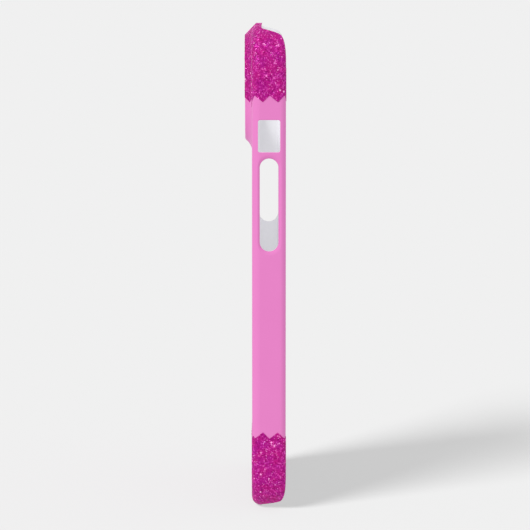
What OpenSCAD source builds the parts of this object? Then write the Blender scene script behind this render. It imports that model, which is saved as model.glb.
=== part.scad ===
// Slim clip-on phone case, stood on its bottom edge.
// X runs across the case, with the volume keys on +X and the camera window towards -X.
// Y runs through its thickness: the outside of the back faces -Y, the open front +Y.
// Z runs up its length, from the lowest point of the case.

/* [Phone] */
// Width of the phone that the case is made for
phone_w = 71.5; // [66:0.1:78]
// Length of the phone
phone_h = 146.7; // [138:0.1:162]
// Thickness of the phone
phone_t = 7.4; // [6.8:0.1:9]
// Gap left around the phone
clearance = 0.15; // [0.05:0.05:0.3]

/* [Shell] */
// Thickness of the side walls
wall_t = 1.2; // [1:0.1:1.6]
// Thickness of the back
back_t = 1.3; // [1.1:0.1:1.8]
// Outer corner radius, seen from the back
corner_r = 12; // [10:0.5:14]
// Rounding between the back and the sides
back_edge_r = 2.5; // [1.5:0.1:3]
// Rounding on the outside of the front rim
rim_r = 1.6; // [1:0.1:1.9]
// How far the snap lip reaches over the phone
snap_reach = 0.8; // [0.4:0.1:1]
// Thickness of the snap lip above the phone
snap_t = 1.27; // [0.9:0.01:1.8]
// Fillet between the pocket floor and the walls
floor_fillet_r = 1; // [0.9:0.1:1.4]

/* [Printed skin] */
// Thickness of the plain print
print_t = 0.12; // [0.08:0.01:0.2]
// Thickness of the glitter print
glitter_t = 0.22; // [0.15:0.01:0.35]
// Height of the top glitter band, between its teeth
top_band_h = 21.2; // [12:0.1:30]
// Height of the bottom glitter band, between its teeth
bottom_band_h = 23.1; // [12:0.1:34]
// Height of one tooth of the band's edge
tooth_h = 2; // [1:0.1:3]
// Pitch of the teeth on the side walls
side_pitch = 4.55; // [3:0.05:6]
// Number of teeth across the back
back_teeth = 15; // [9:1:25]

/* [Camera window] */
// Size of the square window
window_w = 31; // [26:0.5:34]
// Corner radius of the window
window_r = 8.5; // [5:0.5:11]
// Width of the flat crest around the window
crest_w = 1.2; // [0.8:0.1:2]
// Height of the crest above the back
crest_h = 2.4; // [1.2:0.1:3]
// Gap from the case's top and power side to the crest
crest_gap = 3.5; // [3:0.1:6]
// Width of the hollow slope around the crest
slope_w = 5; // [3:0.1:6]

/* [Side openings] */
// Centre of the side openings, from the outside of the back
key_line = 5.1; // [4.5:0.1:5.5]
// Width and length of the mute switch opening
mute_size = [6.75, 9.8]; // [4:0.05:12]
// Corner radius of the mute switch opening
mute_r = 0.6; // [0.3:0.1:2]
// Distance from the top of the case to the mute switch opening
mute_top = 28.4; // [20:0.1:32]
// Width and length of the volume key slot
volume_size = [5.7, 28.4]; // [5:0.1:40]
// Distance from the top of the case to the volume key slot
volume_top = 40.1; // [39:0.1:50]
// Width and length of the power key slot
power_size = [6.4, 21.9]; // [5:0.1:40]
// Distance from the top of the case to the power key slot
power_top = 44.5; // [39:0.1:60]
// Width of the bevel around the two key slots
key_bevel_w = 0.9; // [0.3:0.1:1]
// Depth of that bevel
key_bevel_d = 0.35; // [0.2:0.05:0.6]

/* [End openings] */
// Height of the low rim at both ends, from the outside of the back
low_rim = 2.8; // [2.4:0.1:4]
// Distance from the side of the case to the foot of the sloping edge
end_foot = 7.7; // [6:0.1:12]
// Slope of that edge, from the rim plane
end_slope = 64; // [45:1:80]
// Radius at the top of the slope
end_top_r = 5; // [1:0.5:5]
// Radius at the foot of the slope
end_foot_r = 1.2; // [0.5:0.1:3]

/* [Hidden] */
$fn = 96;

case_w = phone_w + 2 * (clearance + wall_t);
case_h = phone_h + 2 * (clearance + wall_t);
snap_under = back_t + phone_t + clearance;
case_t = snap_under + snap_t;

// The lowest and highest skins are the glitter ones, so they set the frame's origin.
z_bottom = glitter_t;
z_top = z_bottom + case_h;
y_back = (crest_h - case_t) / 2;
axis_x = case_w / 2 - corner_r;
axis_z = [z_bottom + corner_r, z_top - corner_r];

// The chamfer from the crest to the case's edge leaves the back at this distance.
chamfer_foot = crest_gap - crest_h;
crest_r = window_r + crest_w;
crest_half = window_w / 2 + crest_w;
window_x = -case_w / 2 + crest_gap + crest_half;
window_z = z_top - crest_gap - crest_half;
window_axis = window_w / 2 - window_r;
// The hollow slope is one arc. Its lowest point is set a little into the back,
// so that it meets the back in a clean line.
slope_sink = 0.03;
slope_rise = crest_h + slope_sink;
slope_r = (pow(slope_w, 2) + pow(slope_rise, 2)) / (2 * slope_rise);

// The side's teeth start halfway round the back edge's rounding, at this distance from
// the back, and the back's teeth end a little before that, at this distance across.
side_start = back_edge_r * (1 - cos(45));
back_end = case_w / 2 - back_edge_r * (1 - sin(40));
tooth_peak = 0.55;
side_teeth = ceil(case_t / side_pitch) + 1;
back_pitch = 2 * back_end / back_teeth;

// How far cutters run past the case, and how far they run into a space beside it.
past = 6;
overlap = 0.7;
far = 4 * case_t;

// A profile drawn as [distance from the corner axis, distance from the back]
// is carried once around a rounded rectangle.
module around(half_x, z_low, z_high) {
    for (side = [-1, 1]) {
        translate([side * half_x, y_back, (z_low + z_high) / 2])
            rotate([0, 0, side > 0 ? 0 : 180])
            mirror([0, side > 0 ? 0 : 1, 0])
            linear_extrude(z_high - z_low, center = true) children();
    }
    for (up = [0, 1]) {
        translate([0, y_back, up == 1 ? z_high : z_low])
            rotate([0, up == 1 ? -90 : 90, 0])
            linear_extrude(2 * half_x, center = true) children();
    }
    for (side = [-1, 1], up = [0, 1]) {
        quarter = up == 1 ? (side > 0 ? 0 : 90) : (side > 0 ? 270 : 180);
        translate([side * half_x, y_back, up == 1 ? z_high : z_low])
            rotate([-90, 0, 0])
            mirror([0, 1, 0])
            rotate([0, 0, quarter])
            rotate_extrude(angle = 90) children();
    }
}

// The middle of a solid whose edge is made by around().
module core(half_x, z_low, z_high, y_low, y_high) {
    translate([-half_x, y_back + y_low, z_low])
        cube([2 * half_x, y_high - y_low, z_high - z_low]);
}

module around_case() {
    around(axis_x, axis_z[0], axis_z[1]) children();
}

module case_core(y_low, y_high) {
    core(axis_x, axis_z[0], axis_z[1], y_low, y_high);
}

// Outer section of the case, grown by the thickness of a skin.
module outer_section(skin) {
    translate([0, back_edge_r]) square([corner_r + skin, case_t - back_edge_r - rim_r]);
    translate([0, -skin]) square([corner_r - back_edge_r, case_t + 2 * skin]);
    translate([0, back_edge_r]) square([corner_r - rim_r, case_t - back_edge_r + skin]);
    translate([corner_r - back_edge_r, back_edge_r]) circle(back_edge_r + skin);
    translate([corner_r - rim_r, case_t - rim_r]) circle(rim_r + skin);
}

// Section of the space inside: the phone's room, and the mouth between the snap lips.
module pocket_section() {
    pocket_r = corner_r - wall_t;
    fillet_top = back_t + floor_fillet_r;
    snap_foot = snap_under - snap_reach;
    translate([0, fillet_top]) square([pocket_r, snap_foot - fillet_top]);
    translate([0, back_t]) square([pocket_r - floor_fillet_r, floor_fillet_r]);
    translate([pocket_r - floor_fillet_r, fillet_top]) circle(floor_fillet_r);
    polygon([
        [0, snap_foot], [pocket_r, snap_foot],
        [pocket_r - snap_reach, snap_under], [0, snap_under]
    ]);
    translate([0, snap_under]) square([pocket_r - snap_reach, far]);
}

module pocket() {
    around_case() pocket_section();
    case_core(back_t, far);
}

// The raised surround of the camera window, filled in, grown by a skin.
module camera_pad(skin) {
    foot_r = crest_r + slope_w;
    low = window_z - window_axis;
    high = window_z + window_axis;
    translate([window_x, 0, 0]) {
        around(window_axis, low, high) difference() {
            translate([0, -crest_h - skin]) square([foot_r, crest_h + skin + chamfer_foot]);
            translate([foot_r, slope_sink - slope_r]) circle(slope_r - skin);
        }
        core(window_axis, low, high, -crest_h - skin, chamfer_foot);
    }
}

// The room that the surround may fill, which leaves a chamfer along the case's edge.
module chamfer_room(skin) {
    diagonal = skin * sqrt(2);
    top_r = corner_r - crest_gap + diagonal - skin;
    foot = chamfer_foot + skin - diagonal;
    around_case() polygon([
        [0, -crest_h - skin], [top_r, -crest_h - skin], [corner_r + skin, foot],
        [corner_r + skin, chamfer_foot], [0, chamfer_foot]
    ]);
    case_core(-crest_h - skin, chamfer_foot);
}

module outer_solid(skin) {
    around_case() outer_section(skin);
    case_core(-skin, case_t + skin);
    intersection() {
        camera_pad(skin);
        chamfer_room(skin);
    }
}

module camera_window() {
    translate([window_x, y_back, window_z])
        rotate([90, 0, 0])
        linear_extrude(2 * far, center = true)
        rounded_rectangle([window_w, window_w], window_r);
}

module rounded_rectangle(size, r) {
    square([size[0] - 2 * r, size[1]], center = true);
    square([size[0], size[1] - 2 * r], center = true);
    for (a = [-1, 1], b = [-1, 1])
        translate([a * (size[0] / 2 - r), b * (size[1] / 2 - r)]) circle(r);
}

// Places a cutter that points along +X on the line of a side wall's openings.
// Its own x is then the distance from the outside of the wall.
module on_side(side, top, length) {
    translate([side * case_w / 2, y_back + key_line, z_top - top - length / 2])
        mirror([side > 0 ? 0 : 1, 0, 0])
        rotate([90, 0, 90])
        children();
}

// A slot with round ends, whose mouth is bevelled.
module key_slot(size) {
    r = size[0] / 2;
    run = size[1] - size[0];
    mouth_r = r + key_bevel_w * 2;
    translate([0, 0, -far / 2]) linear_extrude(far) {
        square([size[0], run], center = true);
        for (b = [-1, 1]) translate([0, b * run / 2]) circle(r);
    }
    for (b = [-1, 1])
        translate([0, b * run / 2, -key_bevel_d])
            cylinder(key_bevel_d * 2, r, mouth_r);
    rotate([90, 0, 0]) linear_extrude(run, center = true) polygon([
        [-r, -key_bevel_d], [r, -key_bevel_d], [mouth_r, key_bevel_d], [-mouth_r, key_bevel_d]
    ]);
}

// Outline of the end openings, seen along Z. The discs round off its chords.
module end_outline() {
    run = [end_foot_r, end_top_r] * tan(end_slope / 2);
    slope = [cos(end_slope), sin(end_slope)];
    foot = [case_w / 2 - end_foot, low_rim];
    rim = [foot[0] + (case_t - low_rim) / tan(end_slope), case_t];
    lip = rim[0] + run[1];
    right = [
        [foot[0] - run[0], low_rim], foot + run[0] * slope, rim - run[1] * slope,
        [lip, case_t], [lip, case_t + past]
    ];
    difference() {
        union() {
            polygon(concat(right, backwards([for (p = right) [-p[0], p[1]]])));
            for (side = [-1, 1]) translate([side * right[0][0], low_rim + end_foot_r]) circle(end_foot_r);
        }
        for (side = [-1, 1]) translate([side * lip, case_t - end_top_r]) circle(end_top_r);
    }
}

// The gap over the low rim, at the foot or at the top of the case.
// It starts a little inside the straight part of the side walls.
module end_opening(up) {
    reach = corner_r + past;
    translate([0, y_back, up == 1 ? z_top + past - reach - overlap : z_bottom - past])
        linear_extrude(reach + overlap) end_outline();
}

module windows() {
    camera_window();
    on_side(1, mute_top, mute_size[1])
        linear_extrude(far, center = true) rounded_rectangle(mute_size, mute_r);
    on_side(1, volume_top, volume_size[1]) key_slot(volume_size);
    on_side(-1, power_top, power_size[1]) key_slot(power_size);
}

// Points along a toothed edge: the valleys lie on the level, and a peak is past it.
function toothed(start, pitch, count, level, height) = [
    for (k = [0 : count], e = [0, tooth_peak])
        if (k < count || e == 0)
            [start + (k + e) * pitch, level + (e == 0 ? 0 : height)]
];

function backwards(points) = [for (i = [len(points) - 1 : -1 : 0]) points[i]];

// Everything between two toothed edges, each given as [level, height of its teeth].
module between(low, high) {
    function side_edge(edge) = concat(
        [[-far, edge[0]]],
        toothed(side_start, side_pitch, side_teeth, edge[0], edge[1])
    );
    function back_edge(edge) = toothed(-back_end, back_pitch, back_teeth, edge[0], edge[1]);
    for (side = [0, 1]) mirror([side, 0, 0])
        translate([back_end, y_back, 0])
        rotate([90, 0, 90])
        linear_extrude(far)
        polygon(concat(side_edge(low), backwards(side_edge(high))));
    translate([0, y_back + back_edge_r + far, 0])
        rotate([90, 0, 0])
        linear_extrude(3 * far)
        polygon(concat(back_edge(low), backwards(back_edge(high))));
}

top_edge = [z_top + glitter_t - top_band_h, -tooth_h];
bottom_edge = [bottom_band_h, tooth_h];

module skin(thickness) {
    difference() {
        outer_solid(thickness);
        outer_solid(0);
        pocket();
        windows();
        end_opening(0);
        end_opening(1);
    }
}

// The moulded tray of white polycarbonate.
module shell() {
    color("#eef0f2") difference() {
        outer_solid(0);
        pocket();
        windows();
        end_opening(0);
        end_opening(1);
    }
}

module pink_print() {
    color("#ee88cc") intersection() {
        skin(print_t);
        between(bottom_edge, top_edge);
    }
}

module top_glitter_band() {
    color("#b72e8b") intersection() {
        skin(glitter_t);
        between(top_edge, [z_top + past, 0]);
    }
}

module bottom_glitter_band() {
    color("#b72e8b") intersection() {
        skin(glitter_t);
        between([-past, 0], bottom_edge);
    }
}

shell();
pink_print();
top_glitter_band();
bottom_glitter_band();
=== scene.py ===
"""A slim clip-on phone case with a pink print and glitter ends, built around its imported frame."""

import math
import random
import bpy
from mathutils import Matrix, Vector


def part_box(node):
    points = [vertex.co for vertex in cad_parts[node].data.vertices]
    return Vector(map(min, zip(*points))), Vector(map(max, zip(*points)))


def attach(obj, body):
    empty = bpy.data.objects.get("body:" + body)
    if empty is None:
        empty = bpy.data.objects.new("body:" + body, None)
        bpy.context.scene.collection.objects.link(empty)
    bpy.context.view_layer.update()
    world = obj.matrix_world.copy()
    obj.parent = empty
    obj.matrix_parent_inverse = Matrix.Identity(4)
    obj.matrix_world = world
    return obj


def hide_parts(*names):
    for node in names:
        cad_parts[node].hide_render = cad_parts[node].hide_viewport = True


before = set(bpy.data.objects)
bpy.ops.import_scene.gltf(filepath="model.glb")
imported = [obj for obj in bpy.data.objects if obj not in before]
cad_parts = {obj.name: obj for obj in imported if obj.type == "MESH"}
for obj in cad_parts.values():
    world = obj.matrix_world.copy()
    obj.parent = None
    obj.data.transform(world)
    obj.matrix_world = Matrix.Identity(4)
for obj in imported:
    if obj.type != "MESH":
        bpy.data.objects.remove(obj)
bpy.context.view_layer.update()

from types import SimpleNamespace

import bmesh
import bpy
from bpy.props import FloatProperty, FloatVectorProperty, IntProperty, PointerProperty
from bpy.types import Operator, Panel, PropertyGroup
from mathutils import Matrix, Vector

bl_info = {
    "name": "Glitter phone case",
    "version": (1, 0, 0),
    "blender": (4, 5, 0),
    "location": "3D View > Sidebar > Phone case",
    "description": "Makes a slim clip-on phone case with a pink print and glitter ends",
    "category": "Object",
}

SHELL_LOW, SHELL_HIGH = (corner * 1000 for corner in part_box("shell"))

# Directions of the two flat ends of a block, along Y.
OUT_OF_BACK, OUT_OF_FRONT = -1, 1
# Segments of a quarter turn on the case's corners, on its edges and on small edges.
CORNER_STEPS, EDGE_STEPS, SMALL_STEPS = 24, 8, 4
# How far a cutter runs past the case, and half the depth of one that takes in all of it, in mm.
PAST, HALF_DEEP = 6.0, 30.0
# Where a tooth of a band's edge has its tip, as a share of its pitch, and the teeth that cover a side.
TIP, SIDE_TEETH = 0.55, 5
# The hollow slope's run-out under the back, as (distance past the foot, depth), in mm.
RUN_OUT = [(3.4, 3.0), (2.6, 1.9), (1.9, 1.15), (1.25, 0.6), (0.65, 0.22)]
# Outline of the dish around a key slot, as shares of its width and of its depth.
DISH_ACROSS = [1.25, 1.0, 0.8, 0.55, 0.32, 0.15, 0.04, 0.0]
DISH_DOWN = [0.0, 0.04, 0.14, 0.34, 0.56, 0.78, 1.05, 1.5]
# The loose flakes and stars, in mm: least and greatest radius, and thickness.
FLAKE_RADIUS, FLAKE_THICK = (0.11, 0.2), 0.05
STAR_RADIUS, STAR_THICK = (0.3, 0.55), 0.08
# How far a star's inner corners are drawn in, as a share of its radius.
STAR_WAIST = 0.26


# ---------------------------------------------------------------- sizes and colours


def length(name, description, default):
    """A length in metres, as a property."""
    return FloatProperty(
        name=name, description=description, default=default, min=0.0, precision=5, unit="LENGTH"
    )


def colour(name, description, default):
    """A colour, as a property."""
    return FloatVectorProperty(
        name=name, description=description, default=default, size=3, min=0.0, max=1.0, subtype="COLOR"
    )


class CaseSizes(PropertyGroup):
    """Lengths of the case."""

    crest_height: length("Crest height", "Height of the camera surround's crest above the back", 0.0024)
    crest_width: length("Crest width", "Width of the flat crest around the camera window", 0.0012)
    crest_gap: length("Crest gap", "Gap from the case's top and power side to the crest", 0.0035)
    slope_width: length("Slope width", "Width of the hollow slope around the crest", 0.005)
    window_width: length("Window width", "Width of the square camera window", 0.031)
    window_radius: length("Window radius", "Corner radius of the camera window", 0.0085)
    corner_radius: length("Corner radius", "Outer corner radius, seen from the back", 0.012)
    back_edge_radius: length("Back edge radius", "Rounding between the back and the sides", 0.0025)
    rim_radius: length("Rim radius", "Rounding on the outside of the front rim", 0.0016)
    wall: length("Wall", "Thickness of the side walls", 0.0012)
    back: length("Back", "Thickness of the back", 0.0013)
    lip_foot: length("Lip foot", "Height above the back where the clip lip starts to reach in", 0.00805)
    lip_reach: length("Lip reach", "How far the clip lip reaches over the phone", 0.0008)
    floor_fillet: length("Floor fillet", "Fillet between the pocket's floor and its walls", 0.001)
    edge_round: length("Edge rounding", "Rounding of the printed edges around the openings", 0.0003)
    key_line: length("Key line", "Centre of the side openings, from the outside of the back", 0.0051)
    mute_width: length("Mute width", "Width of the mute switch opening", 0.00675)
    mute_length: length("Mute length", "Length of the mute switch opening", 0.0098)
    mute_radius: length("Mute radius", "Corner radius of the mute switch opening", 0.0006)
    mute_top: length("Mute distance", "From the top of the case to the mute switch opening", 0.0284)
    volume_width: length("Volume width", "Width of the volume key slot", 0.0057)
    volume_length: length("Volume length", "Length of the volume key slot", 0.0284)
    volume_top: length("Volume distance", "From the top of the case to the volume key slot", 0.0401)
    power_width: length("Power width", "Width of the power key slot", 0.0064)
    power_length: length("Power length", "Length of the power key slot", 0.0219)
    power_top: length("Power distance", "From the top of the case to the power key slot", 0.0445)
    dish_width: length("Dish width", "Width of the shallow dish around the key slots", 0.0011)
    dish_depth: length("Dish depth", "Depth of that dish", 0.0005)
    low_rim: length("Low rim", "Height of the low rim at both ends, from the outside of the back", 0.0028)
    end_foot: length("End foot", "From the side of the case to the foot of the sloping end edge", 0.0077)
    end_top: length("End top", "From the side of the case to the top of that slope", 0.00413)
    end_foot_radius: length("End foot radius", "Radius at the foot of the slope", 0.0012)
    end_top_radius: length("End top radius", "Radius at the top of the slope", 0.005)
    print_thickness: length("Print", "Thickness of the pink print", 0.00012)
    glitter_thickness: length("Glitter", "Thickness of the glitter print", 0.00022)
    top_band: length("Top band", "From the top of the glitter to the roots of its teeth", 0.0212)
    bottom_band: length("Bottom band", "Height of the bottom band's tooth roots", 0.0231)
    tooth_height: length("Tooth height", "Height of one tooth of a band's edge", 0.002)
    side_pitch: length("Side pitch", "Pitch of the teeth on the side walls", 0.00455)
    back_drop: length("Back drop", "How much further down the back than the sides the top band goes", 0.0016)
    bare_edge: length("Bare edge", "How far the top band stays back from the opening at the top", 0.0006)


class CaseFinish(PropertyGroup):
    """Colours of the case, and what is scattered in its glitter."""

    pink: colour("Pink", "The pink print", (0.742, 0.21, 0.528))
    pink_shade: colour("Pink shade", "Fainter patches of the pink print", (0.734, 0.206, 0.521))
    glitter: colour("Glitter", "The glitter's middle tone", (0.46, 0.012, 0.235))
    glitter_dark: colour("Dark grain", "Grains that lie away from the light", (0.30, 0.003, 0.14))
    glitter_light: colour("Light grain", "Grains that catch the light", (0.70, 0.06, 0.42))
    # Painted glint: a bright pink painted on the brightest grains, flakes and star flakes in place of glints;
    # also tints their real gloss.
    painted_glint: colour("Sparkle", "The brightest flakes", (1.0, 0.30, 0.76))
    white: colour("White", "The moulded polycarbonate", (0.87, 0.865, 0.9))
    flakes: IntProperty(name="Flakes", description="Flakes in one band", default=3600, min=0, max=6000)
    stars: IntProperty(name="Stars", description="Star flakes in one band", default=36, min=0, max=400)
    back_teeth: IntProperty(name="Back teeth", description="Teeth across the back", default=16, min=3)


class CaseStage(PropertyGroup):
    """The floor, the light and the camera."""

    floor: colour("Floor", "The floor that the case stands on", (0.1, 0.1, 0.1))
    glow: FloatProperty(name="Glow", description="Light that the floor gives of itself", default=0.514)
    sky: FloatProperty(name="Sky", description="Light from all around", default=0.871)
    key: FloatProperty(name="Key", description="Strength of the sun on everything", default=1.2)
    floor_key: FloatProperty(name="Floor key", description="Added sun on the floor only", default=12.97)
    key_angle: FloatProperty(
        name="Key angle", description="Width of the sun in the sky", default=math.radians(24), subtype="ANGLE"
    )
    key_from: FloatVectorProperty(
        name="Key from", description="Way to the sun", default=(66, -70, 72), subtype="DIRECTION"
    )
    lens: FloatProperty(name="Lens", description="Focal length in mm, on a 36 mm frame", default=154.0)
    eye: FloatVectorProperty(
        name="Eye", description="Place of the camera", default=(0.7247, 0.0, 0.1579), subtype="TRANSLATION"
    )
    tilt: FloatProperty(
        name="Tilt", description="How far the camera looks down", default=math.radians(6.71), subtype="ANGLE"
    )


def plan():
    """The case's sizes in millimetres, with the places that follow from them."""
    sizes = bpy.context.scene.case_sizes
    p = SimpleNamespace(**{name: getattr(sizes, name) * 1000 for name in CaseSizes.__annotations__})
    p.half = SHELL_HIGH.x
    p.bottom, p.top = SHELL_LOW.z, SHELL_HIGH.z
    p.front_y = SHELL_HIGH.y
    p.back_y = SHELL_LOW.y + p.crest_height
    p.depth = p.front_y - p.back_y
    p.crest_radius = p.window_radius + p.crest_width
    p.crest_half = p.window_width / 2 + p.crest_width
    p.window_x = -p.half + p.crest_gap + p.crest_half
    p.window_z = p.top - p.crest_gap - p.crest_half
    return p


# ---------------------------------------------------------------- shaping


def block(low, high, corner, steps=CORNER_STEPS):
    """A block whose four edges along Y are rounded, as a bmesh in mm."""
    bm = bmesh.new()
    bmesh.ops.create_cube(bm, size=1.0)
    low, high = Vector(low), Vector(high)
    bmesh.ops.scale(bm, vec=high - low, verts=bm.verts)
    bmesh.ops.translate(bm, vec=(low + high) / 2, verts=bm.verts)
    along_y = [e for e in bm.edges if abs(e.verts[0].co.y - e.verts[1].co.y) > 1e-6]
    bmesh.ops.bevel(
        bm, geom=along_y, offset=corner, offset_type="OFFSET", segments=steps,
        affect="EDGES", profile=0.5, material=-1, clamp_overlap=False,
    )
    return bm


def slot_block(width, length, near, far):
    """A block with round ends, its length along Z, as a bmesh in mm."""
    bm = bmesh.new()
    sides = 4 * CORNER_STEPS
    upright = Matrix.Rotation(math.pi / 2, 4, "X") @ Matrix.Rotation(math.pi / sides, 4, "Z")
    bmesh.ops.create_cone(
        bm, cap_ends=True, segments=sides, radius1=width / 2, radius2=width / 2, depth=far - near,
        matrix=Matrix.Translation((0, (near + far) / 2, 0)) @ upright,
    )
    for vert in bm.verts:
        vert.co.z += math.copysign((length - width) / 2, vert.co.z)
    bmesh.ops.recalc_face_normals(bm, faces=bm.faces)
    return bm


def end_face(bm, side):
    """The flat end of a block that faces the given way along Y."""
    return max((f for f in bm.faces if f.normal.y * side > 0.999), key=lambda f: f.calc_area())


def round_end(bm, side, radius, steps=EDGE_STEPS):
    """Rounds the edge of a block's flat end."""
    bmesh.ops.bevel(
        bm, geom=list(end_face(bm, side).edges), offset=radius, offset_type="OFFSET", segments=steps,
        affect="EDGES", profile=0.5, material=-1, clamp_overlap=False,
    )


def push_end(bm, side, distance):
    """Pulls a block's flat end straight out."""
    start = end_face(bm, side)
    grown = bmesh.ops.extrude_face_region(bm, geom=[start])["geom"]
    moved = [v for v in grown if isinstance(v, bmesh.types.BMVert)]
    bmesh.ops.translate(bm, vec=(0, side * distance, 0), verts=moved)
    bmesh.ops.delete(bm, geom=[start], context="FACES_ONLY")


def draw_in(bm, side, steps):
    """Carries a block's flat end on in steps, each drawn in and raised by so much."""
    for inwards, onwards in steps:
        bmesh.ops.inset_region(
            bm, faces=[end_face(bm, side)], thickness=inwards, depth=onwards, use_even_offset=True
        )


def steps_along(points):
    """The steps between points given as (distance out, height)."""
    return [(a[0] - b[0], b[1] - a[1]) for a, b in zip(points, points[1:])]


def merged(first, second, operation):
    """The solid that two solids make together. It uses them up."""
    made = []
    for solid in (first, second):
        mesh = bpy.data.meshes.new("solid")
        solid.to_mesh(mesh)
        solid.free()
        made.append(bpy.data.objects.new("solid", mesh))
        bpy.context.scene.collection.objects.link(made[-1])
    cut = made[0].modifiers.new("cut", "BOOLEAN")
    cut.solver, cut.operation, cut.object = "EXACT", operation, made[1]
    evaluated = made[0].evaluated_get(bpy.context.evaluated_depsgraph_get())
    result = bmesh.new()
    result.from_mesh(evaluated.to_mesh())
    evaluated.to_mesh_clear()
    for solid in made:
        bpy.data.meshes.remove(solid.data)
    if not result.faces:
        raise RuntimeError(f"{operation} of two solids left nothing")
    bmesh.ops.remove_doubles(result, verts=result.verts, dist=1e-4)
    bmesh.ops.dissolve_degenerate(result, edges=result.edges, dist=1e-4)
    return result


def together(solids):
    """Solids that don't touch, as one bmesh."""
    result = bmesh.new()
    for solid in solids:
        mesh = bpy.data.meshes.new("solid")
        solid.to_mesh(mesh)
        solid.free()
        result.from_mesh(mesh)
        bpy.data.meshes.remove(mesh)
    return result


# ---------------------------------------------------------------- the case's solids


def plain_block(p, skin):
    """The case without its camera surround, filled in, grown by a skin."""
    bm = block(
        (-p.half - skin, p.back_y - skin, p.bottom - skin),
        (p.half + skin, p.front_y + skin, p.top + skin),
        p.corner_radius + skin,
    )
    round_end(bm, OUT_OF_BACK, p.back_edge_radius + skin)
    round_end(bm, OUT_OF_FRONT, p.rim_radius + skin)
    return bm


def hollow_slope(p, skin):
    """Points from the foot of the slope around the crest up to the crest, and the run-out under the foot."""
    sink = 0.03  # how far the slope's foot lies under the back
    rise = p.crest_height + sink
    radius = (p.slope_width**2 + rise**2) / (2 * rise)
    foot = p.crest_radius + p.slope_width
    top = math.acos((radius - rise - skin) / (radius - skin)) if skin < radius else 0.0
    count = 12
    arc = []
    for k in range(count + 1):
        turn = top * k / count
        along = foot - (radius - skin) * math.sin(turn)
        arc.append((along, sink - radius + (radius - skin) * math.cos(turn)))
    return [(foot + out + skin / 2, deep - skin) for out, deep in RUN_OUT] + arc


def camera_surround(p, skin):
    """The raised surround, filled in, with a chamfer along the case's top and power side."""
    points = hollow_slope(p, skin)
    reach = p.window_width / 2 - p.window_radius + points[0][0]
    deep = p.back_y + points[0][1]
    pad = block(
        (p.window_x - reach, deep, p.window_z - reach),
        (p.window_x + reach, deep + 1.0, p.window_z + reach),
        points[0][0],
    )
    draw_in(pad, OUT_OF_BACK, [(inwards, -lift) for inwards, lift in steps_along(points)])
    round_end(pad, OUT_OF_BACK, 0.3, SMALL_STEPS)
    slant = p.crest_gap + (2 - math.sqrt(2)) * skin
    room = block(
        (-p.half - skin, p.back_y - p.crest_height - skin + slant, p.bottom - skin),
        (p.half + skin, deep + 2.0, p.top + skin),
        p.corner_radius + skin,
    )
    draw_in(room, OUT_OF_BACK, [(slant, slant)])
    return merged(pad, room, "INTERSECT")


def rounded_mouth(width, length, corner, skin, radius):
    """Cutter that rounds the edge of an opening. It points into a wall that lies at y = 0."""
    bm = block(
        (-width / 2 - radius, -PAST, -length / 2 - radius),
        (width / 2 + radius, -skin, length / 2 + radius),
        corner + radius,
    )
    turn = [math.radians(90 * k / SMALL_STEPS) for k in range(SMALL_STEPS + 1)]
    points = [(radius - (radius + skin) * math.sin(a), radius - (radius + skin) * math.cos(a)) for a in turn]
    draw_in(bm, OUT_OF_FRONT, steps_along(points))
    return bm


def dished_mouth(p, width, length, skin):
    """Cutter that leaves a shallow dish with soft edges around a key slot."""
    points = [(p.dish_width * a, p.dish_depth * d - skin) for a, d in zip(DISH_ACROSS, DISH_DOWN)]
    first = points[0][0]
    bm = slot_block(width + 2 * first, length + 2 * first, -PAST, points[0][1])
    draw_in(bm, OUT_OF_FRONT, steps_along(points))
    return bm


def through(width, length, corner, near, far):
    """A straight cutter along Y."""
    return block((-width / 2, near, -length / 2), (width / 2, far, length / 2), corner)


def side_openings(p):
    """The mute opening, the volume slot and the power slot, as (side, top, length, width).

    Side +1 is the volume side, -1 the power side. The top is measured down from the top of the case.
    """
    return (
        (1, p.mute_top, p.mute_length, p.mute_width),
        (1, p.volume_top, p.volume_length, p.volume_width),
        (-1, p.power_top, p.power_length, p.power_width),
    )


def on_side(p, bm, opening):
    """Moves a cutter to its opening in a side wall."""
    side, top, length, _ = opening
    place = Matrix.Translation((side * p.half, p.back_y + p.key_line, p.top - top - length / 2))
    bmesh.ops.transform(bm, matrix=place @ Matrix.Rotation(side * math.pi / 2, 4, "Z"), verts=bm.verts)
    return bm


def on_crest(p, bm):
    """Moves a cutter to the camera window, its y = 0 on the crest."""
    bmesh.ops.translate(bm, vec=(p.window_x, p.back_y - p.crest_height, p.window_z), verts=bm.verts)
    return bm


def filled_case(p, skin):
    """The whole outside of the case, filled in, with soft edges around its openings."""
    body = merged(plain_block(p, skin), camera_surround(p, skin), "UNION")
    soft = p.edge_round
    mute, *slots = side_openings(p)
    mouths = [
        on_crest(p, rounded_mouth(p.window_width, p.window_width, p.window_radius, skin, soft)),
        on_side(p, rounded_mouth(p.mute_width, p.mute_length, p.mute_radius, skin, soft), mute),
    ]
    for slot in slots:
        _, _, length, width = slot
        mouths.append(on_side(p, dished_mouth(p, width, length, skin), slot))
    return merged(body, together(mouths), "DIFFERENCE")


def pocket(p):
    """The phone's room, with the mouth between the clip lips."""
    inner = p.half - p.wall
    bm = block(
        (-inner, p.back_y + p.back, p.bottom + p.wall),
        (inner, p.back_y + p.lip_foot, p.top - p.wall),
        p.corner_radius - p.wall,
    )
    round_end(bm, OUT_OF_BACK, p.floor_fillet)
    draw_in(bm, OUT_OF_FRONT, [(p.lip_reach, p.lip_reach)])
    push_end(bm, OUT_OF_FRONT, 2 * PAST)
    return bm


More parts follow.
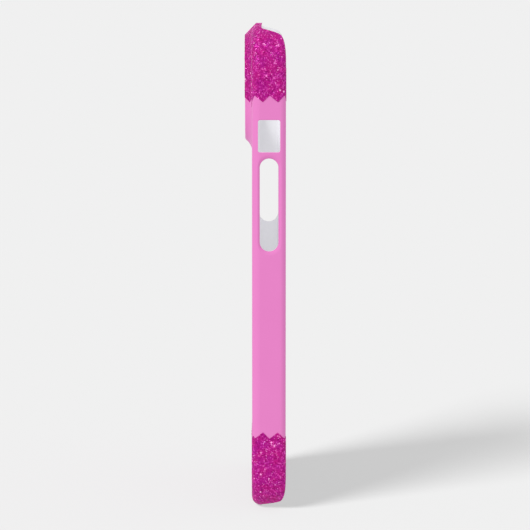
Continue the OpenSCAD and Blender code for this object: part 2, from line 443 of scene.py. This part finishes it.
def end_opening(p, up, skin, bare):
    """The gap over the low rim at the foot or at the top of the case, for a coat with its bare edge too."""
    bm = bmesh.new()
    wide = p.half + 2.0
    crown = p.depth + skin
    right = [
        (p.half - p.end_foot + bare, p.low_rim), (p.half - p.end_top + bare, crown), (wide, crown),
        (wide, crown + PAST),
    ]
    outline = right + [(-x, y) for x, y in reversed(right)]
    corners = [bm.verts.new((x, p.back_y + y, 0)) for x, y in outline]
    bm.faces.new(corners)
    turn = math.atan2(crown - p.low_rim, p.end_foot - p.end_top)
    feet, tops = (0, 7), (1, 6)
    for picked, radius, steps in ((feet, p.end_foot_radius, EDGE_STEPS), (tops, p.end_top_radius, 16)):
        bmesh.ops.bevel(
            bm, geom=[corners[k] for k in picked], offset=radius * math.tan(turn / 2), offset_type="OFFSET",
            segments=steps, affect="VERTICES", profile=0.5, material=-1, clamp_overlap=False,
        )
    reach = p.corner_radius + 0.7
    bmesh.ops.translate(bm, vec=(0, 0, p.top - reach if up else p.bottom - PAST), verts=bm.verts)
    grown = bmesh.ops.extrude_face_region(bm, geom=list(bm.faces))["geom"]
    moved = [v for v in grown if isinstance(v, bmesh.types.BMVert)]
    bmesh.ops.translate(bm, vec=(0, 0, reach + PAST), verts=moved)
    bmesh.ops.recalc_face_normals(bm, faces=bm.faces)
    return bm


def all_openings(p, skin=0.0, bare=0.0):
    """Everything that is cut away from the filled case, or from a coat that leaves a bare edge at the top."""
    mute, *slots = side_openings(p)
    cutters = [
        end_opening(p, False, skin, 0.0),
        end_opening(p, True, skin, bare),
        on_crest(p, through(p.window_width, p.window_width, p.window_radius, -PAST, 2 * PAST)),
        on_side(p, through(p.mute_width, p.mute_length, p.mute_radius, -PAST, PAST), mute),
    ]
    for slot in slots:
        _, _, length, width = slot
        cutters.append(on_side(p, slot_block(width, length, -PAST, PAST), slot))
    cuts = pocket(p)
    for cutter in cutters:
        cuts = merged(cuts, cutter, "UNION")
    return cuts


def prism(outline, axis, near, far):
    """A prism with the given outline. Along X the outline is (y, z), along Y it is (x, z)."""
    bm = bmesh.new()
    place = {"X": lambda a, b: (near, a, b), "Y": lambda a, b: (a, near, b)}[axis]
    base = bm.faces.new([bm.verts.new(place(a, b)) for a, b in outline])
    grown = bmesh.ops.extrude_face_region(bm, geom=[base])["geom"]
    moved = [v for v in grown if isinstance(v, bmesh.types.BMVert)]
    run = far - near
    bmesh.ops.translate(bm, vec=(run, 0, 0) if axis == "X" else (0, run, 0), verts=moved)
    bmesh.ops.recalc_face_normals(bm, faces=bm.faces)
    return bm


def toothed(start, pitch, count, level, height):
    """A row of teeth. Its roots lie on the level, and each tip is a little past the middle of its pitch."""
    row = []
    for k in range(count):
        row += [(start + k * pitch, level), (start + (k + TIP) * pitch, level + height)]
    return row + [(start + count * pitch, level)]


def zone(p, low, high):
    """Everything between two toothed edges, each given as (level on the sides, on the back, tooth height).

    The side's first root lies halfway round the back edge. The next tooth runs on to the back, whose own
    teeth take over a little further round.
    """
    root = p.back_edge_radius * (1 - math.cos(math.radians(45)))
    cut_at = root / ((1 - TIP) * p.side_pitch)  # the share of that tooth's height where the back cuts it
    side_start = p.back_y + root - p.side_pitch
    back_end = p.half - p.back_edge_radius * (1 - math.sin(math.radians(40)))
    teeth = bpy.context.scene.case_finish.back_teeth
    pitch = 2 * back_end / teeth
    back_start = -back_end - cut_at * TIP * pitch
    side_rows, back_rows = [], []
    for level, back_level, height in (low, high):
        side = toothed(side_start, p.side_pitch, SIDE_TEETH, level, height)
        back = toothed(back_start, pitch, teeth, back_level, height)
        side_rows.append([(p.back_y - 3 * PAST, level)] + side)
        end_level = level + cut_at * height
        back_rows.append([(-back_end, end_level)] + back[1:] + [(back_end, end_level)])
    side_outline = side_rows[0] + side_rows[1][::-1]
    result = prism(back_rows[0] + back_rows[1][::-1], "Y", -HALF_DEEP, HALF_DEEP)
    for near, far in ((back_end, p.half + PAST), (-p.half - PAST, -back_end)):
        result = merged(result, prism(side_outline, "X", near, far), "UNION")
    return result


def top_edge(p):
    """Levels and tooth height of the top band's edge."""
    level = p.top + p.glitter_thickness - p.top_band
    return (level, level - p.back_drop, -p.tooth_height)


def bottom_edge(p):
    """Levels and tooth height of the bottom band's edge."""
    return (p.bottom_band, p.bottom_band, p.tooth_height)


def plain_edge(level):
    """A straight edge, past the end of the case."""
    return (level, level, 0.0)


def coat(p, thickness, low, high, bare=0.0):
    """A coat of print between two toothed edges."""
    part = merged(filled_case(p, thickness), zone(p, low, high), "INTERSECT")
    part = merged(part, filled_case(p, 0.0), "DIFFERENCE")
    return merged(part, all_openings(p, thickness, bare), "DIFFERENCE")


# ---------------------------------------------------------------- materials


def add(tree, kind, links=None, **values):
    """A node with its settings, its unlinked values and its links, by name."""
    made = tree.nodes.new(kind)
    for name, value in values.items():
        setattr(made, name, value)
    for name, source in (links or {}).items():
        socket = made.inputs[name]
        if isinstance(source, bpy.types.NodeSocket):
            tree.links.new(source, socket)
        else:
            socket.default_value = source
    return made


def vector_math(tree, operation, links):
    """The result of a sum on vectors."""
    return add(tree, "ShaderNodeVectorMath", links, operation=operation).outputs["Vector"]


def ramp(tree, factor, stops):
    """A colour ramp with the given (place, colour) stops."""
    made = add(tree, "ShaderNodeValToRGB", {"Fac": factor})
    elements = made.color_ramp.elements
    while len(elements) < len(stops):
        elements.new(1.0)
    for element, (place, shade) in zip(elements, stops):
        element.position = place
        element.color = (*shade, 1.0)
    return made.outputs["Color"]


def group(name, inputs, outputs):
    """A new node group with its inputs and outputs. Returns its tree and its two end nodes."""
    tree = bpy.data.node_groups.new(name, "ShaderNodeTree")
    for label, kind, default in inputs:
        socket = tree.interface.new_socket(label, in_out="INPUT", socket_type=kind)
        socket.default_value = default
    for label, kind in outputs:
        tree.interface.new_socket(label, in_out="OUTPUT", socket_type=kind)
    return tree, tree.nodes.new("NodeGroupInput").outputs, tree.nodes.new("NodeGroupOutput").inputs


def moulded_grain():
    """Fine grain of moulded and printed plastic, with slow, faint clouds over it."""
    tree, given, out = group(
        "Moulded grain",
        [("Grain scale", "NodeSocketFloat", 5000.0), ("Cloud scale", "NodeSocketFloat", 60.0)],
        [("Height", "NodeSocketFloat"), ("Clouds", "NodeSocketFloat")],
    )
    place = add(tree, "ShaderNodeTexCoord").outputs["Object"]
    grain = add(tree, "ShaderNodeTexNoise", {"Vector": place, "Scale": given["Grain scale"], "Detail": 3.0})
    clouds = add(tree, "ShaderNodeTexNoise", {"Vector": place, "Scale": given["Cloud scale"], "Detail": 2.0})
    tree.links.new(grain.outputs["Fac"], out["Height"])
    tree.links.new(clouds.outputs["Fac"], out["Clouds"])
    return tree


def glitter_grain():
    """Grains of glitter: a random tone, gloss and tilt for each grain."""
    tree, given, out = group(
        "Glitter grain",
        [("Grain scale", "NodeSocketFloat", 2900.0), ("Tilt", "NodeSocketFloat", 0.5)],
        [
            ("Tone", "NodeSocketFloat"), ("Tint", "NodeSocketFloat"), ("Gloss", "NodeSocketFloat"),
            ("Height", "NodeSocketFloat"), ("Normal", "NodeSocketVector"),
        ],
    )
    place = add(tree, "ShaderNodeTexCoord").outputs["Object"]
    cells = add(tree, "ShaderNodeTexVoronoi", {"Vector": place, "Scale": given["Grain scale"]})
    split = add(tree, "ShaderNodeSeparateColor", {"Color": cells.outputs["Color"]})
    patches = add(tree, "ShaderNodeTexNoise", {"Vector": place, "Scale": 420.0, "Detail": 2.0})
    centred = vector_math(tree, "SUBTRACT", {0: cells.outputs["Color"], 1: (0.5, 0.5, 0.5)})
    tilted = vector_math(tree, "SCALE", {0: centred, "Scale": given["Tilt"]})
    normal = add(tree, "ShaderNodeNewGeometry").outputs["Normal"]
    leaning = vector_math(tree, "ADD", {0: normal, 1: tilted})
    unit = vector_math(tree, "NORMALIZE", {0: leaning})
    height = add(tree, "ShaderNodeMath", {0: 1.0, 1: cells.outputs["Distance"]}, operation="SUBTRACT")
    tree.links.new(split.outputs["Red"], out["Tone"])
    tree.links.new(patches.outputs["Fac"], out["Tint"])
    tree.links.new(split.outputs["Green"], out["Gloss"])
    tree.links.new(height.outputs["Value"], out["Height"])
    tree.links.new(unit, out["Normal"])
    return tree


def new_material(name):
    """An empty material with its tree and its Principled shader."""
    material = bpy.data.materials.new(name)
    material.use_nodes = True
    tree = material.node_tree
    return material, tree, tree.nodes["Principled BSDF"]


def place_group(tree, shared, **values):
    """Puts a shared group into a material with its own values."""
    made = add(tree, "ShaderNodeGroup", node_tree=shared)
    for name, value in values.items():
        made.inputs[name.replace("_", " ")].default_value = value
    return made.outputs


def bump(tree, shader, height, depth, normal=None):
    """A bump of the given depth, in metres, under the shader's normal."""
    links = {"Height": height, "Strength": 1.0, "Distance": depth}
    if normal is not None:
        links["Normal"] = normal
    made = add(tree, "ShaderNodeBump", links)
    tree.links.new(made.outputs["Normal"], shader.inputs["Normal"])


def between_values(tree, factor, low, high):
    """A value that runs from low to high as the factor goes from 0 to 1."""
    made = add(tree, "ShaderNodeMapRange", {"Value": factor, "To Min": low, "To Max": high})
    return made.outputs["Result"]


def pink_material(finish, grain):
    """Satin pink print."""
    material, tree, shader = new_material("Pink print")
    out = place_group(tree, grain, Grain_scale=2600.0, Cloud_scale=75.0)
    shade = ramp(tree, out["Clouds"], [(0.36, finish.pink_shade), (0.62, finish.pink)])
    tree.links.new(shade, shader.inputs["Base Color"])
    tree.links.new(between_values(tree, out["Clouds"], 0.34, 0.48), shader.inputs["Roughness"])
    shader.inputs["Specular IOR Level"].default_value = 0.12
    bump(tree, shader, out["Height"], 0.000012)
    return material


def white_material(finish, grain):
    """White moulded polycarbonate."""
    material, tree, shader = new_material("White polycarbonate")
    out = place_group(tree, grain, Grain_scale=3400.0, Cloud_scale=45.0)
    dull = tuple(channel * 0.96 for channel in finish.white)
    shade = ramp(tree, out["Clouds"], [(0.3, dull), (0.7, finish.white)])
    tree.links.new(shade, shader.inputs["Base Color"])
    tree.links.new(between_values(tree, out["Clouds"], 0.36, 0.5), shader.inputs["Roughness"])
    bump(tree, shader, out["Height"], 0.000008)
    return material


def glitter_material(finish, grain):
    """Magenta glitter print."""
    material, tree, shader = new_material("Magenta glitter")
    out = place_group(tree, grain, Grain_scale=2700.0, Tilt=0.55)
    # Painted light on each grain: a random tone picks painted shade (dark), the middle print tone, painted
    # highlight (light) or a painted glint at the top.
    tone = ramp(tree, out["Tone"], [
        (0.0, finish.glitter_dark), (0.42, finish.glitter), (0.8, finish.glitter),
        (0.9, finish.glitter_light), (0.985, finish.glitter_light), (1.0, finish.painted_glint),
    ])
    tint = ramp(tree, out["Tint"], [
        (0.35, (0.93, 0.9, 1.06)), (0.5, (1.0, 1.0, 1.0)), (0.66, (1.05, 0.95, 0.92)),
    ])
    mixed = add(tree, "ShaderNodeMix", data_type="RGBA", blend_type="MULTIPLY")
    mixed.inputs["Factor"].default_value = 1.0
    colours = [s for s in mixed.inputs if s.type == "RGBA"]
    tree.links.new(tone, colours[0])
    tree.links.new(tint, colours[1])
    tree.links.new([s for s in mixed.outputs if s.type == "RGBA"][0], shader.inputs["Base Color"])
    tree.links.new(between_values(tree, out["Gloss"], 0.25, 0.6), shader.inputs["Roughness"])
    tree.links.new(between_values(tree, out["Tone"], 0.0, 0.4), shader.inputs["Metallic"])
    shader.inputs["Specular IOR Level"].default_value = 0.06
    shader.inputs["Specular Tint"].default_value = (*finish.painted_glint, 1.0)
    bump(tree, shader, out["Height"], 0.00004, out["Normal"])
    return material


def flake_material(finish, grain):
    """Loose flakes that stand a little proud of the glitter."""
    material, tree, shader = new_material("Glitter flake")
    out = place_group(tree, grain, Grain_scale=1500.0, Tilt=0.2)
    # Painted light on each flake: a random tone picks painted shade (dark), the print tone, painted highlight
    # (light) or a painted glint.
    tone = ramp(tree, out["Tone"], [
        (0.0, finish.glitter_dark), (0.3, finish.glitter), (0.65, finish.glitter_light),
        (1.0, finish.painted_glint),
    ])
    tree.links.new(tone, shader.inputs["Base Color"])
    tree.links.new(between_values(tree, out["Gloss"], 0.12, 0.35), shader.inputs["Roughness"])
    tree.links.new(between_values(tree, out["Tone"], 0.2, 0.55), shader.inputs["Metallic"])
    shader.inputs["Specular IOR Level"].default_value = 0.1
    shader.inputs["Specular Tint"].default_value = (*finish.painted_glint, 1.0)
    return material


def star_material(finish, grain):
    """Bright star-shaped flakes in the painted glint colour, with a faint painted glow from emission."""
    material, tree, shader = new_material("Star flake")
    out = place_group(tree, grain, Grain_scale=900.0, Tilt=0.1)
    pale = tuple(0.75 * channel + 0.25 for channel in finish.painted_glint)
    tone = ramp(tree, out["Tone"], [(0.0, finish.painted_glint), (1.0, pale)])
    tree.links.new(tone, shader.inputs["Base Color"])
    # Painted glow: the stars give off a little light of their own, though they are no lamp.
    tree.links.new(tone, shader.inputs["Emission Color"])
    tree.links.new(between_values(tree, out["Gloss"], 0.15, 0.3), shader.inputs["Roughness"])
    shader.inputs["Emission Strength"].default_value = 0.25
    return material


def finishes():
    """The case's materials, made once and kept by name."""
    if "Pink print" not in bpy.data.materials:
        finish = bpy.context.scene.case_finish
        moulded, glitter = moulded_grain(), glitter_grain()
        for make, grain in (
            (pink_material, moulded), (white_material, moulded), (glitter_material, glitter),
            (flake_material, glitter), (star_material, glitter),
        ):
            make(finish, grain)
    return bpy.data.materials


# ---------------------------------------------------------------- finished pieces


def finish_piece(bm, name, material, node=None, sharp=32.0):
    """Makes a bmesh in mm a finished piece in metres, riding on the case."""
    bmesh.ops.scale(bm, vec=(0.001,) * 3, verts=bm.verts)
    for face in bm.faces:
        face.smooth = True
    for edge in bm.edges:
        edge.smooth = edge.is_manifold and edge.calc_face_angle(0.0) < math.radians(sharp)
    mesh = bpy.data.meshes.new(name)
    bm.to_mesh(mesh)
    bm.free()
    mesh.materials.append(finishes()[material])
    piece = bpy.data.objects.new(name, mesh)
    bpy.context.scene.collection.objects.link(piece)
    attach(piece, "root")
    if node:
        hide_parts(node)
    return piece


def even_shading(piece):
    """Keeps the large flats flat where they run into small roundings."""
    even = piece.modifiers.new("even shading", "WEIGHTED_NORMAL")
    even.keep_sharp = True
    even.weight = 90


def outer_spots(p, piece, count, chance, inside=(-math.inf, math.inf)):
    """Random places on the outside of a coat, with the way that each one faces, in mm.

    They lie between two heights, and none is on the end that the case stands on.
    """
    bm = bmesh.new()
    bm.from_mesh(piece.data)
    bmesh.ops.scale(bm, vec=(1000.0,) * 3, verts=bm.verts)
    bmesh.ops.triangulate(bm, faces=bm.faces)
    inner = p.half - p.corner_radius
    outer = []
    for face in bm.faces:
        middle = face.calc_center_median()
        core = Vector((
            max(-inner, min(inner, middle.x)),
            max(p.back_y + 3.0, min(p.front_y - 2.0, middle.y)),
            max(p.bottom + p.corner_radius, min(p.top - p.corner_radius, middle.z)),
        ))
        away = middle - core
        stands_on = face.normal.z < -0.7
        outward = away.length > 0.1 and face.normal.dot(away.normalized()) > 0.45
        if outward and not stands_on:
            outer.append(face)
    areas = [face.calc_area() for face in outer]
    spots = []
    while len(spots) < count:
        face = chance.choices(outer, weights=areas)[0]
        a, b = sorted((chance.random(), chance.random()))
        corners = [v.co for v in face.verts]
        place = corners[0] * a + corners[1] * (b - a) + corners[2] * (1 - b)
        if inside[0] < place.z < inside[1]:
            spots.append((place, face.normal.copy()))
    bm.free()
    return spots


def facing(normal):
    """A turn that takes Z to the given normal and keeps Y as near upright as it can."""
    up = Vector((0, 0, 1)) if abs(normal.z) < 0.9 else Vector((0, 1, 0))
    across = up.cross(normal).normalized()
    return Matrix((across, normal.cross(across), normal)).transposed().to_4x4()


def scatter(spots, make, batch=120):
    """Makes one small solid at each spot, a batch at a time, and gathers them in one bmesh."""
    batches = []
    for start in range(0, len(spots), batch):
        bm = bmesh.new()
        for place, normal in spots[start:start + batch]:
            make(bm, place, normal)
        batches.append(bm)
    return together(batches)


def scatter_flakes(p, band, seed):
    """Small six-sided flakes, tilted at random and partly sunk in the band."""
    chance = random.Random(seed)
    count = bpy.context.scene.case_finish.flakes

    def flake(bm, place, normal):
        radius = chance.uniform(*FLAKE_RADIUS)
        lean = Matrix.Rotation(math.radians(chance.gauss(0, 14)), 4, "X")
        lean = Matrix.Rotation(chance.uniform(0, 2 * math.pi), 4, "Z") @ lean
        at = Matrix.Translation(place + normal * 0.01) @ facing(normal) @ lean
        bmesh.ops.create_cone(
            bm, cap_ends=True, segments=6, radius1=radius, radius2=radius * 0.8, depth=FLAKE_THICK, matrix=at
        )

    return scatter(outer_spots(p, band, count, chance), flake)


def scatter_stars(p, band, seed, inside):
    """Thin four-pointed flakes that stand out from the rest, between two heights."""
    chance = random.Random(seed)
    count = bpy.context.scene.case_finish.stars

    def star(bm, place, normal):
        radius = chance.uniform(*STAR_RADIUS)
        lean = Matrix.Rotation(math.radians(chance.gauss(0, 6)), 4, "Z")
        at = Matrix.Translation(place + normal * 0.06) @ facing(normal) @ lean
        made = bmesh.ops.create_cone(
            bm, cap_ends=True, segments=8, radius1=radius, radius2=radius * 0.85, depth=STAR_THICK, matrix=at
        )["verts"]
        for vert in made:
            local = at.inverted() @ vert.co
            eighth = round(math.atan2(local.y, local.x) / (math.pi / 4))
            if eighth % 2:
                vert.co = at @ Vector((local.x * STAR_WAIST, local.y * STAR_WAIST, local.z))

    return scatter(outer_spots(p, band, count, chance, inside), star)


class CASE_OT_shell(Operator):
    """Make the white moulded tray"""

    bl_idname = "phone_case.shell"
    bl_label = "White tray"

    def execute(self, context):
        p = plan()
        bm = merged(filled_case(p, 0.0), all_openings(p), "DIFFERENCE")
        piece = finish_piece(bm, "white_tray", "White polycarbonate", "shell")
        even_shading(piece)
        return {"FINISHED"}


class CASE_OT_print(Operator):
    """Make the pink print between the bands"""

    bl_idname = "phone_case.pink_print"
    bl_label = "Pink print"

    def execute(self, context):
        p = plan()
        bm = coat(p, p.print_thickness, bottom_edge(p), top_edge(p))
        piece = finish_piece(bm, "pink_skin", "Pink print", "pink_print")
        even_shading(piece)
        return {"FINISHED"}


class CASE_OT_bands(Operator):
    """Make the two glitter bands with their loose flakes and stars"""

    bl_idname = "phone_case.glitter_bands"
    bl_label = "Glitter bands"

    def execute(self, context):
        p = plan()
        bands = (
            ("top", top_edge(p), plain_edge(p.top + PAST), p.bare_edge, 11),
            ("bottom", plain_edge(p.bottom - PAST), bottom_edge(p), 0.0, 12),
        )
        for end, low, high, bare, seed in bands:
            bm = coat(p, p.glitter_thickness, low, high, bare)
            band = finish_piece(
                bm, f"{end}_glitter", "Magenta glitter", f"{end}_glitter_band"
            )
            even_shading(band)
            finish_piece(
                scatter_flakes(p, band, seed), f"{end}_flakes", "Glitter flake", sharp=5.0
            )
            inside = (low[0] + 0.8, high[0] - 0.8)
            finish_piece(
                scatter_stars(p, band, seed + 20, inside), f"{end}_stars", "Star flake",
                sharp=5.0,
            )
        return {"FINISHED"}


def make_floor(stage):
    """A wide pale floor that gives most of its own light, so that it stays even and takes little colour."""
    bm = bmesh.new()
    bmesh.ops.create_grid(bm, x_segments=1, y_segments=1, size=60.0)
    mesh = bpy.data.meshes.new("floor")
    bm.to_mesh(mesh)
    bm.free()
    material, _, shader = new_material("Pale floor")
    shader.inputs["Base Color"].default_value = (*stage.floor, 1.0)
    shader.inputs["Roughness"].default_value = 1.0
    shader.inputs["Specular IOR Level"].default_value = 0.0
    shader.inputs["Emission Color"].default_value = (1.0, 1.0, 1.0, 1.0)
    shader.inputs["Emission Strength"].default_value = stage.glow
    material.cycles.emission_sampling = "NONE"
    mesh.materials.append(material)
    floor = bpy.data.objects.new("floor", mesh)
    bpy.context.scene.collection.objects.link(floor)
    return floor


def light_stage(stage, floor):
    """Soft light from all around, one wide sun on everything, and more of the same sun on the floor only."""
    scene = bpy.context.scene
    scene.world = bpy.data.worlds.new("Studio")
    scene.world.use_nodes = True
    sky = scene.world.node_tree.nodes["Background"].inputs
    sky["Color"].default_value = (1.0, 1.0, 1.0, 1.0)
    sky["Strength"].default_value = stage.sky

    floor_only = bpy.data.collections.new("floor only")
    floor_only.objects.link(floor)
    for name, energy, lit in (("key", stage.key, None), ("floor key", stage.floor_key, floor_only)):
        key = bpy.data.lights.new(name, "SUN")
        key.energy = energy
        key.angle = stage.key_angle
        lamp = bpy.data.objects.new(name, key)
        lamp.rotation_euler = Vector(stage.key_from).to_track_quat("Z", "Y").to_euler()
        lamp.light_linking.receiver_collection = lit
        scene.collection.objects.link(lamp)


def place_camera(stage):
    """A camera that looks along -X at the volume side, tilted a little down."""
    scene = bpy.context.scene
    lens = bpy.data.cameras.new("camera")
    lens.lens = stage.lens
    lens.sensor_width = 36.0
    lens.clip_start, lens.clip_end = 0.01, 200.0
    camera = bpy.data.objects.new("camera", lens)
    camera.location = stage.eye
    camera.rotation_euler = (math.radians(90) - stage.tilt, 0.0, math.radians(90))
    scene.collection.objects.link(camera)
    scene.camera = camera


class CASE_OT_stage(Operator):
    """Make the floor, the light and the camera"""

    bl_idname = "phone_case.stage"
    bl_label = "Stage"

    def execute(self, context):
        context.scene.view_settings.view_transform = "Standard"
        stage = context.scene.case_stage
        floor = make_floor(stage)
        light_stage(stage, floor)
        place_camera(stage)
        return {"FINISHED"}


class CASE_PT_panel(Panel):
    """Lists the case's steps"""

    bl_label = "Phone case"
    bl_idname = "CASE_PT_panel"
    bl_space_type = "VIEW_3D"
    bl_region_type = "UI"
    bl_category = "Phone case"

    def draw(self, context):
        layout = self.layout
        for step in STEPS:
            layout.operator(step.bl_idname)
        scene = context.scene
        for settings in (scene.case_sizes, scene.case_finish, scene.case_stage):
            for name in type(settings).__annotations__:
                layout.prop(settings, name)


STEPS = (CASE_OT_stage, CASE_OT_shell, CASE_OT_print, CASE_OT_bands)
CLASSES = (CaseSizes, CaseFinish, CaseStage, *STEPS, CASE_PT_panel)


def register():
    """Registers the add-on."""
    for made in CLASSES:
        bpy.utils.register_class(made)
    bpy.types.Scene.case_sizes = PointerProperty(type=CaseSizes)
    bpy.types.Scene.case_finish = PointerProperty(type=CaseFinish)
    bpy.types.Scene.case_stage = PointerProperty(type=CaseStage)


def unregister():
    """Removes the add-on."""
    del bpy.types.Scene.case_stage
    del bpy.types.Scene.case_finish
    del bpy.types.Scene.case_sizes
    for made in reversed(CLASSES):
        bpy.utils.unregister_class(made)


def main():
    """Makes the whole case and its stage."""
    register()
    bpy.ops.phone_case.stage()
    bpy.ops.phone_case.shell()
    bpy.ops.phone_case.pink_print()
    bpy.ops.phone_case.glitter_bands()


if __name__ == "__main__":
    main()
